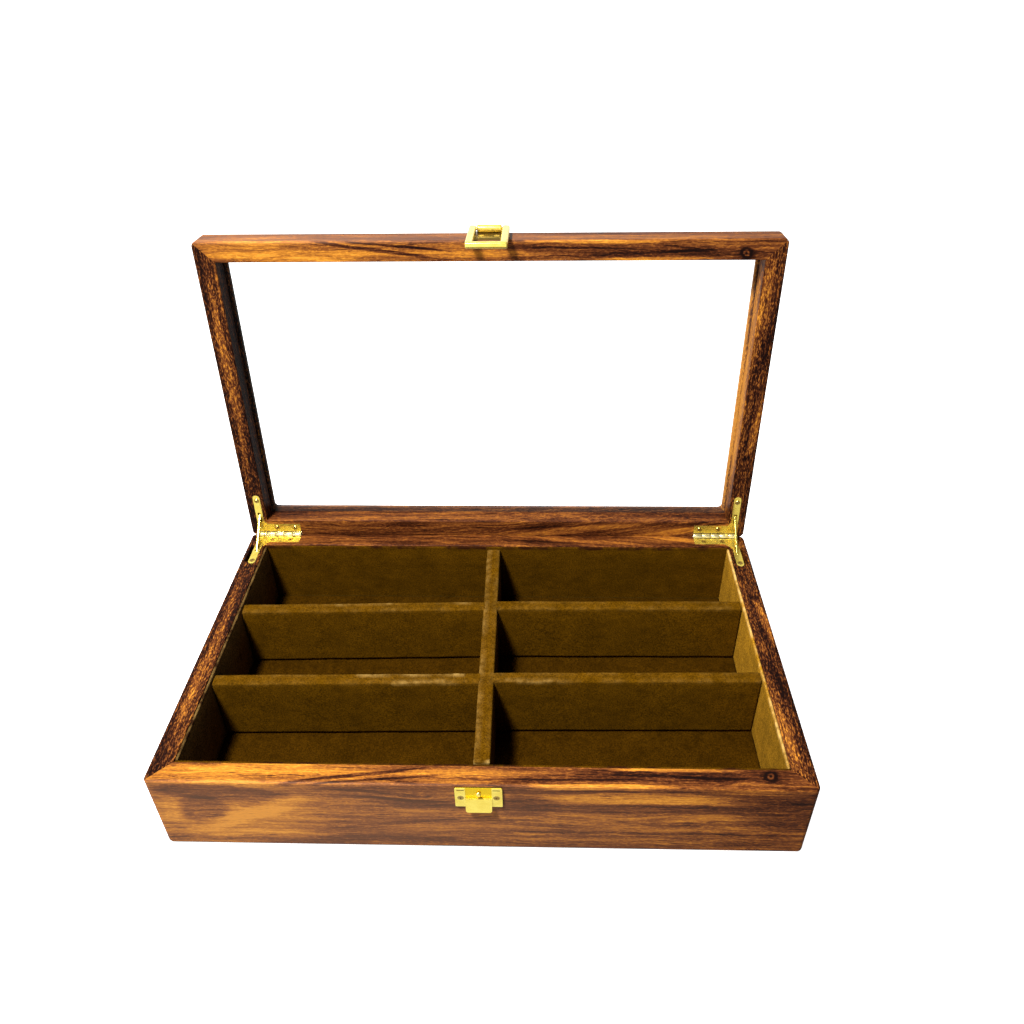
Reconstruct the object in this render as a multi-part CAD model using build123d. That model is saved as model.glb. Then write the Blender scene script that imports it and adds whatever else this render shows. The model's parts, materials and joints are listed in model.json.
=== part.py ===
from build123d import *
import math
import os

# Hinged wooden case with a glass lid and six velvet-lined compartments for spectacles.
# Millimetres. +X to the right, the front faces -Y, +Z up, origin at the centre of the underside.
# The lid is drawn closed and then swung back about the hinge pins, which is how the case is stored.

# ---------------------------------------------------------------- driving dimensions
WIDTH = 382.6            # outside, left to right
DEPTH = 228.6            # outside, front to back
BASE_HEIGHT = 61.0
LID_HEIGHT = 19.5
WALL = 13.6              # thickness of every board and width of every lid rail
RIM_GAP = 0.6            # daylight between the rim and the closed lid
OPEN_ANGLE = 93.3        # the stays stop the lid here

CORNER_ROUND = 3.4       # upright outer arrises
FOOT_ROUND = 3.0         # arris round the underside
RIM_ROUND = 1.2          # outer arris of the two faces that meet
INNER_ROUND = 0.7        # inner arris of those faces
TOP_ROUND = 2.0          # outer arris of the lid's top

PANEL_THICK = 5.0        # bottom panel, let into a rebate
PANEL_LAP = 6.0
LINING_THICK = 1.6       # card covered in velvet
LINING_DROP = 0.6        # top edge of the lining below the rim
FLOOR_PAD = 6.0

GLASS_THICK = 3.0
GLASS_UP = 13.5          # underside of the glass above the lid's lower face
GROOVE_DEPTH = 5.0
LIP_OVERHANG = 1.8       # the lip over the glass stands further in than the rails
LIP_ROUND = 3.0          # inner corners of that lip
GLASS_PLAY = 0.5

DIVIDER_DROP = 2.0       # divider tops below the rim
CENTRE_DIVIDER = 9.8     # thickness
CROSS_DIVIDER = 8.4      # thickness
CENTRE_SKEW = 0.62       # degrees; the loose insert sits slightly askew
COVER = 1.0              # velvet round each divider core
COVER_ROUND = 1.4
DIVIDER_END_GAP = 0.7
DIVIDER_FRONT_GAP = 2.4

# name: side (-1 left, +1 right), depth position where it meets the centre divider, skew in degrees
CROSS_DIVIDERS = {
    "left_rear_divider": (-1, 36.2, 1.7),
    "right_rear_divider": (1, 36.6, 0.55),
    "left_front_divider": (-1, -31.8, 1.2),
    "right_front_divider": (1, -31.2, 0.85),
}

LEAF = 1.2               # hinge plate thickness
KNUCKLE_R = 2.0
HINGE_PIN_R = 1.0
PIN_SHORT = 0.2          # the pin stops this far inside each end of the barrel
KNUCKLES = 5
KNUCKLE_LENGTH = 6.5
KNUCKLE_GAP = 0.3
RUN = 0.05               # radial running clearance
ROOM = 0.35              # free space round a moving piece
HINGE_OUTER_X = 186.3    # outer end of each barrel
HINGE_IN = 0.86          # hinge pin inside the back face
LEAF_FRONT_Y = 103.9     # front edge of the plate's short leg
ARM_X = 183.0            # centre line of the long leg
ARM_WIDTH = 5.5
ARM_END_Y = 78.0
GUSSETS = {"base": 5.0, "lid": 2.5}
LEG_SCREWS_X = {"base": (174.0, 160.0), "lid": (171.0, 157.0)}
ARM_SCREW_Y = {"base": 82.0, "lid": 83.0}

STAY_THICK = 1.2
STAY_WIDTH = 3.8
STAY_REACH = 17.0        # from the hinge pin to either end of the stay's working length
STAY_PIVOT_UP = 3.0      # stay pivot above the pin's level, inside the lid
STAY_TAIL = 4.5          # beyond the working length, carries the stop
STAY_STOP = 2.5          # stop pin beyond the working length
STAY_EYE_R = 2.2
STAY_RIVET_R = 0.9
SLOT_WIDTH = 2.0
SLOT_LENGTH = 8.6
LUG = 0.9                # thickness of the lugs that carry the stay's rivet
MORTISE_WIDTH = 5.2
MORTISE_BOTTOM = 31.0
MORTISE_BEHIND_PIN = (27.5, 12.5)    # front and back ends, measured forward from the hinge pin
CHANNEL_BEHIND_PIN = (33.5, 13.5)
CHANNEL_DEPTH = 6.0
CHANNEL_WIDTH = 2.6      # beyond the arm's edge
LID_MORTISE_BEHIND_PIN = (21.0, 10.5)

CATCH_X = 0.3            # middle of the catch
CLASP_X = 1.0            # middle of the hasp and its plate
CATCH_HALF = 13.5        # half width of both clasp plates
CATCH_PLATE = 1.2
CATCH_TOP = BASE_HEIGHT - 0.7
WING_BOTTOM = 43.6
TONGUE_HALF = 7.5
TONGUE_TOP = 51.4
TONGUE_TIP = 41.2
TONGUE_OUT = 3.6         # height of the tongue's tip above the board
TONGUE_STEP = 0.8        # and of its top above the plate
TONGUE_ROUND = 1.6       # lower corners
CATCH_RECESS = 0.35      # the strip behind the rivet lies this much deeper than the wings
WING_SLIT = (4.2, 0.7)   # length and height of the slit near each wing's top
WING_SLIT_UP = 58.4
HASP_PIN_UP = 14.5       # hasp pin above the lid's lower face
HASP_PIN_OUT = 3.6       # and in front of the lid's front face
HASP_KNUCKLE_R = 2.1
HASP_BARREL_R = 2.5
HASP_PIN_R = 0.9
HASP_BARREL_HALF = 8.0
HASP_BAR_IN = 8.5        # inner face of the hasp's side bars
HASP_BAR_OUT = 13.2
HASP_BAR_ROUND = 1.2
HASP_CROSS_ROUND = 1.7
HASP_BOTTOM = 36.4
HASP_CROSSBAR = 4.0
HASP_HEEL = 1.5          # underside of the side bars over the lid plate
CATCH_SCREW_X = 10.2     # from the middle of the catch
CATCH_SCREW_Z = 51.6
CATCH_RIVET_Z = 55.4
RIVET_HEAD_R = 1.5
RIVET_HEAD_OUT = 1.1
RIVET_R = 0.8
RIVET_LENGTH = 5.0
CLASP_SCREW_X = 5.0      # from the middle of the lid plate
CLASP_SCREW_UP = 6.5     # above the lid's lower face
CLASP_PLATE_UP = (1.0, 17.0)

SCREW_HEAD_R = 1.9
SCREW_SHANK_R = 0.9
SCREW_SINK = 1.0
SCREW_LENGTH = 8.0
SCREW_DRIVE = 0.6        # depth of the crossed recess
SCREW_SLOT = 0.45
LID_SCREW_PROUD = 0.45    # less than the rim gap, so the heads clear the base plate when shut

# ---------------------------------------------------------------- worked-out positions
INNER_X = WIDTH / 2 - WALL
INNER_Y = DEPTH / 2 - WALL
LINED_X = INNER_X - LINING_THICK
LINED_Y = INNER_Y - LINING_THICK
FLOOR_Z = PANEL_THICK + FLOOR_PAD
DIVIDER_TOP = BASE_HEIGHT - DIVIDER_DROP
LID_Z = BASE_HEIGHT + RIM_GAP
HINGE_Y = DEPTH / 2 - HINGE_IN
HINGE_Z = BASE_HEIGHT + RIM_GAP / 2
LEAF_BACK_Y = HINGE_Y - KNUCKLE_R - ROOM
BARREL_LENGTH = KNUCKLES * KNUCKLE_LENGTH + (KNUCKLES - 1) * KNUCKLE_GAP
HINGE_INNER_X = HINGE_OUTER_X - BARREL_LENGTH
HINGE_AXIS = Axis((0, HINGE_Y, HINGE_Z), (1, 0, 0))
FRONT_Y = -DEPTH / 2
HASP_Z = LID_Z + HASP_PIN_UP
HASP_Y = FRONT_Y - HASP_PIN_OUT
CATCH_SCREWS = [(CATCH_X + side * CATCH_SCREW_X, CATCH_SCREW_Z) for side in (-1, 1)]
CLASP_SCREWS = [(CLASP_X + side * CLASP_SCREW_X, LID_Z + CLASP_SCREW_UP) for side in (-1, 1)]

# The stay pivots on the lid at A and always passes through the base plate's slot at B. A and B are
# equally far from the hinge pin, so the stay turns exactly half as fast as the lid.
SLOT_DOWN = RIM_GAP / 2 + LEAF / 2
PIVOT_Y = -math.sqrt(STAY_REACH ** 2 - STAY_PIVOT_UP ** 2)
SLOT_Y = -math.sqrt(STAY_REACH ** 2 - SLOT_DOWN ** 2)
SWING = math.radians(OPEN_ANGLE)
PIVOT_OPEN_Y = PIVOT_Y * math.cos(SWING) + STAY_PIVOT_UP * math.sin(SWING)
PIVOT_OPEN_Z = -PIVOT_Y * math.sin(SWING) + STAY_PIVOT_UP * math.cos(SWING)
STAY_WORKING = math.hypot(SLOT_Y - PIVOT_OPEN_Y, -SLOT_DOWN - PIVOT_OPEN_Z)
STAY_LEAN = math.degrees(math.atan2(SLOT_Y - PIVOT_OPEN_Y, PIVOT_OPEN_Z + SLOT_DOWN))
SLOT_CENTRE_Y = HINGE_Y + SLOT_Y


# ---------------------------------------------------------------- helpers
def slab(x0, x1, y0, y1, z0, z1):
    """Box between two corners, given in either order."""
    centre = Pos((x0 + x1) / 2, (y0 + y1) / 2, (z0 + z1) / 2)
    return centre * Box(abs(x1 - x0), abs(y1 - y0), abs(z1 - z0))


def prism(points, z0, z1):
    """Upright prism on a plan outline."""
    outline = make_face(Polyline(*points, close=True))
    return extrude(Pos(0, 0, z0) * outline, amount=z1 - z0, dir=(0, 0, 1))


def bar_x(points, x0, x1):
    """Prism along X on a (y, z) outline."""
    outline = make_face(Polyline(*[(x0, y, z) for y, z in points], close=True))
    return extrude(outline, amount=x1 - x0, dir=(1, 0, 0))


def rod_x(radius, x0, x1, y, z):
    """Cylinder along X between two stations, given in either order."""
    return Pos((x0 + x1) / 2, y, z) * Rot(0, 90, 0) * Cylinder(radius, abs(x1 - x0))


def opened(shape):
    """Swing a piece drawn on the closed lid back to the open stop."""
    return shape.rotate(HINGE_AXIS, -OPEN_ANGLE)


def group(pieces):
    """Separate solids that share one node."""
    return Compound([solid for piece in pieces for solid in piece.solids()])


def save(name, shape):
    export_step(shape, f"parts/{name}.step")


def wood_screw(proud=0.0):
    """Countersunk screw pointing down -Z, its bearing surface at z = 0, with a crossed drive."""
    head = Pos(0, 0, -SCREW_SINK / 2) * Cone(SCREW_SHANK_R, SCREW_HEAD_R, SCREW_SINK)
    if proud > 0:
        head += Pos(0, 0, proud / 2) * Cone(SCREW_HEAD_R, SCREW_HEAD_R * 0.8, proud)
    shank = Pos(0, 0, -SCREW_LENGTH / 2) * Cylinder(SCREW_SHANK_R, SCREW_LENGTH)
    drive = Box(SCREW_SLOT, SCREW_HEAD_R * 1.3, SCREW_DRIVE)
    cross = Pos(0, 0, proud - SCREW_DRIVE / 2) * (drive + Rot(0, 0, 90) * drive)
    return head + shank - cross


def screw_hole():
    """The room a screw takes below its bearing surface."""
    head = Pos(0, 0, -SCREW_SINK / 2) * Cone(SCREW_SHANK_R, SCREW_HEAD_R, SCREW_SINK)
    return head + Pos(0, 0, -SCREW_LENGTH / 2) * Cylinder(SCREW_SHANK_R, SCREW_LENGTH)


# ---------------------------------------------------------------- mitred frames
def rounded_block(height, low_round, high_round):
    """Solid block of the case's plan size with softened outer arrises, standing on z = 0."""
    block = Pos(0, 0, height / 2) * Box(WIDTH, DEPTH, height)
    block = fillet(block.edges().filter_by(Axis.Z), CORNER_ROUND)
    block = fillet(block.faces().sort_by(Axis.Z)[-1].edges(), high_round)
    return fillet(block.faces().sort_by(Axis.Z)[0].edges(), low_round)


def mitre(side, z0, z1):
    """Prism that holds one side of a frame between its two mitre planes."""
    out, inset = 5.0, 40.0
    left, right = -WIDTH / 2 - out, WIDTH / 2 + out
    near, far = -DEPTH / 2 - out, DEPTH / 2 + out
    step = out + inset
    plans = {
        "front": [(left, near), (right, near), (right - step, near + step), (left + step, near + step)],
        "back": [(left, far), (left + step, far - step), (right - step, far - step), (right, far)],
        "left": [(left, near), (left + step, near + step), (left + step, far - step), (left, far)],
        "right": [(right, near), (right, far), (right - step, far - step), (right - step, near + step)],
    }
    return prism(plans[side], z0 - 1, z1 + 1)


def base_frame():
    """The four base boards as one ring, before it is cut at the mitres."""
    ring = rounded_block(BASE_HEIGHT, FOOT_ROUND, RIM_ROUND)
    ring -= slab(-INNER_X, INNER_X, -INNER_Y, INNER_Y, -1, BASE_HEIGHT + 1)
    rim = ring.faces().sort_by(Axis.Z)[-1]
    ring = fillet(rim.inner_wires()[0].edges(), INNER_ROUND)
    lap_x, lap_y = INNER_X + PANEL_LAP, INNER_Y + PANEL_LAP
    return ring - slab(-lap_x, lap_x, -lap_y, lap_y, -1, PANEL_THICK)


def lid_frame():
    """The four lid rails as one ring in the closed position, grooved for the glass."""
    ring = rounded_block(LID_HEIGHT, RIM_ROUND, TOP_ROUND)
    ring -= slab(-INNER_X, INNER_X, -INNER_Y, INNER_Y, -1, GLASS_UP)
    lip_x, lip_y = INNER_X - LIP_OVERHANG, INNER_Y - LIP_OVERHANG
    window = slab(-lip_x, lip_x, -lip_y, lip_y, GLASS_UP - 1, LID_HEIGHT + 1)
    ring -= fillet(window.edges().filter_by(Axis.Z), LIP_ROUND)
    meeting_face = ring.faces().sort_by(Axis.Z)[0]
    ring = fillet(meeting_face.inner_wires()[0].edges(), INNER_ROUND)
    deep_x, deep_y = INNER_X + GROOVE_DEPTH, INNER_Y + GROOVE_DEPTH
    ring -= slab(-deep_x, deep_x, -deep_y, deep_y, GLASS_UP, GLASS_UP + GLASS_THICK)
    return Pos(0, 0, LID_Z) * ring


# ---------------------------------------------------------------- hinges and stays
def leaf_plan(side, gusset, z0, z1):
    """L-shaped hinge plate: a short leg on the back board and an arm with a round end on the side."""
    arm_in, arm_out = ARM_X - ARM_WIDTH / 2, ARM_X + ARM_WIDTH / 2
    end_r = ARM_WIDTH / 2
    points = [
        (side * HINGE_OUTER_X, LEAF_BACK_Y),
        (side * HINGE_INNER_X, LEAF_BACK_Y),
        (side * HINGE_INNER_X, LEAF_FRONT_Y),
        (side * (arm_in - gusset), LEAF_FRONT_Y),
        (side * arm_in, LEAF_FRONT_Y - gusset),
        (side * arm_in, ARM_END_Y + end_r),
        (side * arm_out, ARM_END_Y + end_r),
        (side * arm_out, LEAF_FRONT_Y),
        (side * HINGE_OUTER_X, LEAF_FRONT_Y),
    ]
    plate = prism(points, z0, z1)
    end = Pos(side * ARM_X, ARM_END_Y + end_r, (z0 + z1) / 2) * Cylinder(end_r, z1 - z0)
    return plate + end


def knuckle_spans(side, owner):
    """X spans of one plate's knuckles; on the left the lid owns the outer ones, on the right the base."""
    outer_owner = "lid" if side < 0 else "base"
    first = 0 if owner == outer_owner else 1
    spans = []
    for index in range(first, KNUCKLES, 2):
        out = HINGE_OUTER_X - index * (KNUCKLE_LENGTH + KNUCKLE_GAP)
        spans.append((side * out, side * (out - KNUCKLE_LENGTH)))
    return spans


def hinge_leaf(side, owner):
    """One hinge plate with its knuckles and the slot the stay works through."""
    z0, z1 = (BASE_HEIGHT - LEAF, BASE_HEIGHT) if owner == "base" else (LID_Z, LID_Z + LEAF)
    plate = leaf_plan(side, GUSSETS[owner], z0, z1)
    for x0, x1 in knuckle_spans(side, owner):
        plate += slab(x0, x1, LEAF_BACK_Y, HINGE_Y, z0, z1)
        plate += rod_x(KNUCKLE_R, x0, x1, HINGE_Y, HINGE_Z)
    bore = HINGE_PIN_R if owner == "base" else HINGE_PIN_R + RUN
    plate -= rod_x(bore, side * (HINGE_INNER_X - 1), side * (HINGE_OUTER_X + 1), HINGE_Y, HINGE_Z)
    slot_shift = 0.0 if owner == "base" else SLOT_LENGTH / 2 - 2.6
    slot_y = SLOT_CENTRE_Y + slot_shift
    slot_x = side * ARM_X
    plate -= slab(slot_x - SLOT_WIDTH / 2, slot_x + SLOT_WIDTH / 2,
                  slot_y - SLOT_LENGTH / 2, slot_y + SLOT_LENGTH / 2, z0 - 1, z1 + 1)
    if owner == "lid":
        plate += stay_ears(side)
    return plate


def stay_ears(side):
    """Two lugs behind the lid plate that carry the stay's rivet."""
    y, z = HINGE_Y + PIVOT_Y, HINGE_Z + STAY_PIVOT_UP
    reach = STAY_RIVET_R + 1.1
    ears = []
    for edge in (-1, 1):
        near = side * ARM_X + edge * SLOT_WIDTH / 2
        far = near + edge * LUG
        foot = slab(near, far, y - reach, y + reach, LID_Z + LEAF / 2, z)
        ears.append(foot + rod_x(reach, near, far, y, z))
    half = SLOT_WIDTH / 2 + LUG
    hole = rod_x(STAY_RIVET_R, side * ARM_X - half - 1, side * ARM_X + half + 1, y, z)
    return (ears[0] - hole) + (ears[1] - hole)


def stay_rivet(side):
    """Rivet through the stay's eye, fixed in the lid plate's lugs."""
    half = SLOT_WIDTH / 2 + LUG
    x = side * ARM_X
    return rod_x(STAY_RIVET_R, x - half, x + half, HINGE_Y + PIVOT_Y, HINGE_Z + STAY_PIVOT_UP)


def stay_strip(side):
    """Flat strip in its open position: an eye at the lid end, a stop pin at the other."""
    x0, x1 = side * ARM_X - STAY_THICK / 2, side * ARM_X + STAY_THICK / 2
    length = STAY_WORKING + STAY_TAIL
    half = STAY_WIDTH / 2
    strip = slab(x0, x1, -half, half, -length + half, 0) + rod_x(half, x0, x1, 0, -length + half)
    strip += rod_x(STAY_EYE_R, x0, x1, 0, 0)
    strip -= rod_x(STAY_RIVET_R + RUN, x0 - 1, x1 + 1, 0, 0)
    return place_stay(strip - rod_x(STAY_RIVET_R, x0 - 1, x1 + 1, 0, -STAY_WORKING - STAY_STOP))


def stay_stop(side):
    """Cross pin that catches under the base plate at the open stop."""
    half = 1.8
    x = side * ARM_X
    return place_stay(rod_x(STAY_RIVET_R, x - half, x + half, 0, -STAY_WORKING - STAY_STOP))


def place_stay(shape):
    """From the stay's own frame (eye at the origin, hanging down) to its open position."""
    return Pos(0, HINGE_Y + PIVOT_OPEN_Y, HINGE_Z + PIVOT_OPEN_Z) * Rot(STAY_LEAN, 0, 0) * shape


def stay_mortise(side):
    """Pocket in the side board that the stay drops into, with the routed channel beside the arm."""
    x = side * ARM_X
    half = MORTISE_WIDTH / 2
    front, back = (HINGE_Y - reach for reach in MORTISE_BEHIND_PIN)
    pocket = slab(x - half, x + half, front, back, MORTISE_BOTTOM, BASE_HEIGHT)
    arm_edge = ARM_X + ARM_WIDTH / 2
    front, back = (HINGE_Y - reach for reach in CHANNEL_BEHIND_PIN)
    return pocket + slab(side * (arm_edge - 0.4), side * (arm_edge + CHANNEL_WIDTH), front, back,
                         BASE_HEIGHT - CHANNEL_DEPTH, BASE_HEIGHT + 1)


def lid_mortise(side):
    """Pocket in the lid stile round the stay's eye and lugs."""
    x = side * ARM_X
    half = MORTISE_WIDTH / 2
    top = HINGE_Z + STAY_PIVOT_UP + STAY_EYE_R + 0.8
    front, back = (HINGE_Y - reach for reach in LID_MORTISE_BEHIND_PIN)
    return slab(x - half, x + half, front, back, LID_Z, top)


def hinge_screw_places(owner):
    """(x, y) of the screws in one pair of plates."""
    leg_y = (LEAF_FRONT_Y + LEAF_BACK_Y) / 2
    places = [(x, leg_y) for x in LEG_SCREWS_X[owner]] + [(ARM_X, ARM_SCREW_Y[owner])]
    return [(side * x, y) for side in (-1, 1) for x, y in places]


def hinge_screws(owner, screw):
    """Screws down into the base rim, or up into the closed lid's lower face."""
    seat = Pos(0, 0, BASE_HEIGHT) if owner == "base" else Pos(0, 0, LID_Z) * Rot(180, 0, 0)
    return [Pos(x, y, 0) * seat * screw for x, y in hinge_screw_places(owner)]


# ---------------------------------------------------------------- clasp
def front_screws(places, screw):
    """Screws into the front face through a clasp plate, pointing +Y."""
    return [Pos(x, FRONT_Y - CATCH_PLATE, z) * Rot(90, 0, 0) * screw for x, z in places]


def catch_plate():
    """Plate on the base: two slit wings, a sunk strip and the raised tongue that the hasp snaps under."""
    face = FRONT_Y - CATCH_PLATE
    plate = slab(CATCH_X - CATCH_HALF, CATCH_X + CATCH_HALF, face, FRONT_Y, WING_BOTTOM, CATCH_TOP)
    plate = fillet(plate.edges().filter_by(Axis.Y), 0.6)
    x0, x1 = CATCH_X - TONGUE_HALF, CATCH_X + TONGUE_HALF
    plate -= slab(x0, x1, face - 1, face + CATCH_RECESS, TONGUE_TOP - 1, CATCH_TOP + 1)
    length, height = WING_SLIT
    for x, _ in CATCH_SCREWS:
        plate -= Pos(x, face, WING_SLIT_UP) * Box(length, 1.2, height)
    lean = bar_x([
        (face + 0.6, TONGUE_TOP),
        (face - TONGUE_STEP, TONGUE_TOP),
        (FRONT_Y - TONGUE_OUT, TONGUE_TIP),
        (face + 0.6, TONGUE_TIP),
    ], x0, x1)
    tongue = slab(x0, x1, FRONT_Y - TONGUE_OUT - 1, face + 0.6, TONGUE_TIP, TONGUE_TOP)
    tongue = fillet(tongue.edges().filter_by(Axis.Y).sort_by(Axis.Z)[:2], TONGUE_ROUND)
    return plate + (tongue & lean)


def catch_rivet():
    """Round-headed rivet above the tongue."""
    face = FRONT_Y - CATCH_PLATE
    dome = Pos(CATCH_X, face, CATCH_RIVET_Z) * Sphere(RIVET_HEAD_R)
    dome &= Pos(CATCH_X, face - RIVET_HEAD_OUT / 2, CATCH_RIVET_Z) * Box(4, RIVET_HEAD_OUT, 4)
    stem = Rot(90, 0, 0) * Cylinder(RIVET_R, RIVET_LENGTH)
    return dome + Pos(CATCH_X, face + RIVET_LENGTH / 2, CATCH_RIVET_Z) * stem


def clasp_plate():
    """Plate on the lid's front rail with the barrel the hasp turns on."""
    face = FRONT_Y - CATCH_PLATE
    low, high = (LID_Z + up for up in CLASP_PLATE_UP)
    half = HASP_BAR_OUT - 0.8
    plate = slab(CLASP_X - half, CLASP_X + half, face, FRONT_Y, low, high)
    x0, x1 = CLASP_X - HASP_BARREL_HALF, CLASP_X + HASP_BARREL_HALF
    web = slab(x0, x1, HASP_Y, face + 0.2, HASP_Z - 0.8, HASP_Z + HASP_KNUCKLE_R)
    barrel = fillet(rod_x(HASP_BARREL_R, x0, x1, HASP_Y, HASP_Z).edges(), 0.8)
    return plate + web + barrel - rod_x(HASP_PIN_R, x0 - 1, x1 + 1, HASP_Y, HASP_Z)


def clasp_pin():
    """Pin fixed in the lid plate's barrel; the hasp turns on its ends."""
    end = HASP_BAR_OUT - 0.2
    return rod_x(HASP_PIN_R, CLASP_X - end, CLASP_X + end, HASP_Y, HASP_Z)


def clasp_hasp():
    """Rectangular ring: two side bars on the pin and a crossbar that passes below the tongue."""
    y_out, y_in = HASP_Y - HASP_KNUCKLE_R, HASP_Y + HASP_KNUCKLE_R
    left, right = CLASP_X - HASP_BAR_OUT, CLASP_X + HASP_BAR_OUT
    ring = slab(left, right, y_out, y_in, HASP_BOTTOM, HASP_BOTTOM + HASP_CROSSBAR)
    ring = fillet(ring.edges().filter_by(Axis.X), HASP_CROSS_ROUND)
    ends = ring.faces().sort_by(Axis.X)
    ring = fillet(ends[0].edges() + ends[-1].edges(), HASP_BAR_ROUND)
    for side in (-1, 1):
        x0, x1 = CLASP_X + side * HASP_BAR_IN, CLASP_X + side * HASP_BAR_OUT
        bar = slab(x0, x1, y_out, y_in, HASP_BOTTOM + HASP_CROSSBAR / 2, HASP_Z)
        bar = fillet(bar.edges().filter_by(Axis.Z), HASP_BAR_ROUND)
        heel = slab(x0, x1, HASP_Y, FRONT_Y - HASP_HEEL, LID_Z + 2.0, HASP_Z - 4.5)
        ring += bar + heel + fillet(rod_x(HASP_KNUCKLE_R, x0, x1, HASP_Y, HASP_Z).edges(), HASP_BAR_ROUND)
    return ring - rod_x(HASP_PIN_R + RUN, left - 1, right + 1, HASP_Y, HASP_Z)


# ---------------------------------------------------------------- linings and dividers
def divider(length, thick):
    """Core and velvet cover of an upright divider along X, centred on the origin in plan."""
    height = DIVIDER_TOP - FLOOR_Z
    outer = Pos(0, 0, FLOOR_Z + height / 2) * Box(length, thick, height)
    outer = fillet(outer.faces().sort_by(Axis.Z)[-1].edges(), COVER_ROUND)
    core = Box(length - 2 * COVER, thick - 2 * COVER, height - COVER)
    return outer, Pos(0, 0, FLOOR_Z + (height - COVER) / 2) * core


def centre_divider():
    """The long divider from front to back, continuous over both crossings."""
    front, back = -LINED_Y + DIVIDER_FRONT_GAP, LINED_Y - DIVIDER_END_GAP / 2
    place = Rot(0, 0, CENTRE_SKEW) * Pos(0, (front + back) / 2, 0) * Rot(0, 0, 90)
    outer, core = divider(back - front, CENTRE_DIVIDER)
    return place * outer, place * core


def cross_divider(side, meet_y, skew, centre_outer):
    """A divider from the centre one out to a side lining, butted against both."""
    reach = LINED_X - DIVIDER_END_GAP
    outer, core = divider(reach, CROSS_DIVIDER)
    place = Pos(0, meet_y, 0) * Rot(0, 0, skew) * Pos(side * reach / 2, 0, 0)
    return place * outer - centre_outer, place * core - centre_outer


# ---------------------------------------------------------------- build
os.makedirs("parts", exist_ok=True)
SIDES = {"left": -1, "right": 1}

screw_holes = {owner: group(hinge_screws(owner, screw_hole())) for owner in ("base", "lid")}
catch_holes = group(front_screws(CATCH_SCREWS, screw_hole()))
clasp_holes = group(front_screws(CLASP_SCREWS, screw_hole()))

base_ring = base_frame() - screw_holes["base"] - catch_holes - catch_rivet()
lid_ring = lid_frame() - screw_holes["lid"] - clasp_holes
for side in SIDES.values():
    near, far = side * (HINGE_INNER_X - ROOM), side * (HINGE_OUTER_X + ROOM)
    barrel_room = rod_x(KNUCKLE_R + ROOM, near, far, HINGE_Y, HINGE_Z)
    seat = slab(near, far, LEAF_BACK_Y - 0.1, HINGE_Y, BASE_HEIGHT - LEAF, LID_Z + LEAF)
    base_ring -= leaf_plan(side, GUSSETS["base"], BASE_HEIGHT - LEAF, BASE_HEIGHT + 1)
    base_ring -= barrel_room + seat + stay_mortise(side)
    lid_ring -= leaf_plan(side, GUSSETS["lid"], LID_Z - 1, LID_Z + LEAF)
    lid_ring -= barrel_room + seat + lid_mortise(side)

for side in ("front", "back", "left", "right"):
    save(f"{side}_board", base_ring & mitre(side, 0, BASE_HEIGHT))
    part = "rail" if side in ("front", "back") else "stile"
    save(f"lid_{side}_{part}", opened(lid_ring & mitre(side, LID_Z, LID_Z + LID_HEIGHT)))

lap_x, lap_y = INNER_X + PANEL_LAP, INNER_Y + PANEL_LAP
save("bottom_panel", slab(-lap_x, lap_x, -lap_y, lap_y, 0, PANEL_THICK))
save("floor_pad", slab(-LINED_X, LINED_X, -LINED_Y, LINED_Y, PANEL_THICK, FLOOR_Z))
lining_top = BASE_HEIGHT - LINING_DROP
save("front_lining", slab(-INNER_X, INNER_X, -INNER_Y, -LINED_Y, PANEL_THICK, lining_top))
save("back_lining", slab(-INNER_X, INNER_X, LINED_Y, INNER_Y, PANEL_THICK, lining_top))
save("left_lining", slab(-INNER_X, -LINED_X, -LINED_Y, LINED_Y, PANEL_THICK, lining_top))
save("right_lining", slab(LINED_X, INNER_X, -LINED_Y, LINED_Y, PANEL_THICK, lining_top))

centre_outer, centre_core = centre_divider()
save("centre_divider_core", centre_core)
save("centre_divider_cover", centre_outer - centre_core)
for name, (side, meet_y, skew) in CROSS_DIVIDERS.items():
    outer, core = cross_divider(side, meet_y, skew, centre_outer)
    save(f"{name}_core", core)
    save(f"{name}_cover", outer - core)

glass_x, glass_y = INNER_X + GROOVE_DEPTH - GLASS_PLAY, INNER_Y + GROOVE_DEPTH - GLASS_PLAY
glass_low = LID_Z + GLASS_UP
pane = slab(-glass_x, glass_x, -glass_y, glass_y, glass_low, glass_low + GLASS_THICK)
save("glass_pane", opened(pane))

for name, side in SIDES.items():
    pin_in, pin_out = side * (HINGE_INNER_X + PIN_SHORT), side * (HINGE_OUTER_X - PIN_SHORT)
    save(f"{name}_hinge_base_leaf", hinge_leaf(side, "base") - screw_holes["base"])
    save(f"{name}_hinge_lid_leaf", opened(hinge_leaf(side, "lid") - screw_holes["lid"]))
    save(f"{name}_hinge_pin", rod_x(HINGE_PIN_R, pin_in, pin_out, HINGE_Y, HINGE_Z))
    save(f"{name}_stay", stay_strip(side))
    save(f"{name}_stay_stop", stay_stop(side))
    save(f"{name}_stay_rivet", opened(stay_rivet(side)))
save("hinge_base_screws", group(hinge_screws("base", wood_screw())))
save("hinge_lid_screws", opened(group(hinge_screws("lid", wood_screw(LID_SCREW_PROUD)))))

save("catch_plate", catch_plate() - catch_holes - catch_rivet())
save("catch_rivet", catch_rivet())
save("catch_screws", group(front_screws(CATCH_SCREWS, wood_screw())))
save("clasp_plate", opened(clasp_plate() - clasp_holes))
save("clasp_screws", opened(group(front_screws(CLASP_SCREWS, wood_screw()))))
save("clasp_pin", opened(clasp_pin()))
save("clasp_hasp", opened(clasp_hasp()))
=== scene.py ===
import json
import math

import bpy
from mathutils import Matrix, Vector, noise


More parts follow.
